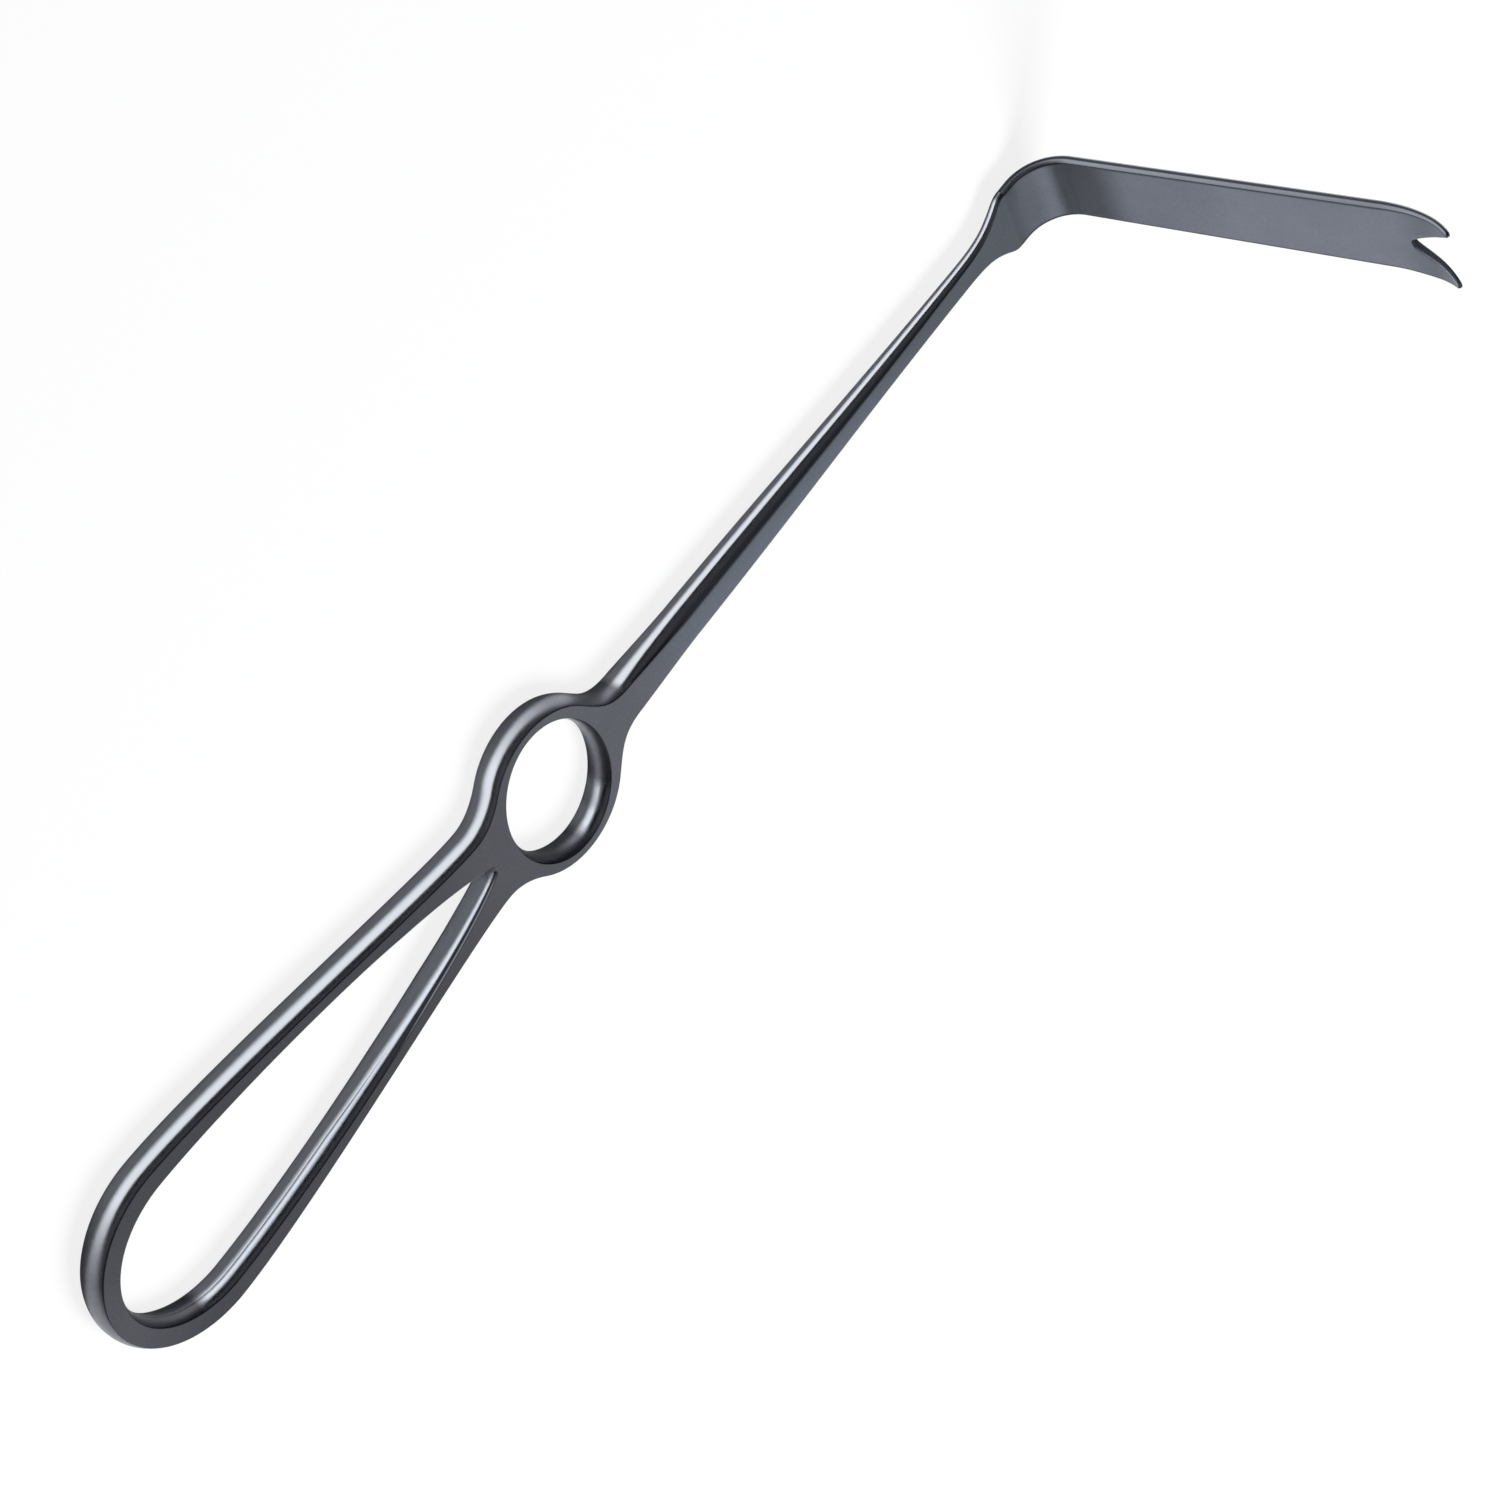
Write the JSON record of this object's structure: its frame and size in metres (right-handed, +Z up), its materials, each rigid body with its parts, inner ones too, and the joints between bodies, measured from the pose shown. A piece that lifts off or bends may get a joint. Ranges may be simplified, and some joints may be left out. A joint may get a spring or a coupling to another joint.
{
  "type": "ramus retractor",
  "caption": "Forked ramus retractor: a bent swallow-tail blade on a tapered shank, with an oval finger ring and an open loop handle.",
  "frame": {"origin": "under the middle of the whole length, on the surface that the handle's flat back lies on", "axes": "+X along the shank from the loop handle to the blade, +Y across the handle, +Z up out of the handle's front face, the way the blade points"},
  "size_m": [0.2204, 0.0326, 0.0653],
  "materials": {
    "blade_steel": "satin stainless steel, fine matt grain on the blade's faces",
    "shank_steel": "satin stainless steel with polished round sides",
    "handle_steel": "satin stainless steel faces with polished round sides"
  },
  "bodies": {
    "root": {"forked_blade": "blade_steel", "shank": "shank_steel", "finger_ring": "handle_steel", "loop_handle": "handle_steel"}
  },
  "joints": []
}
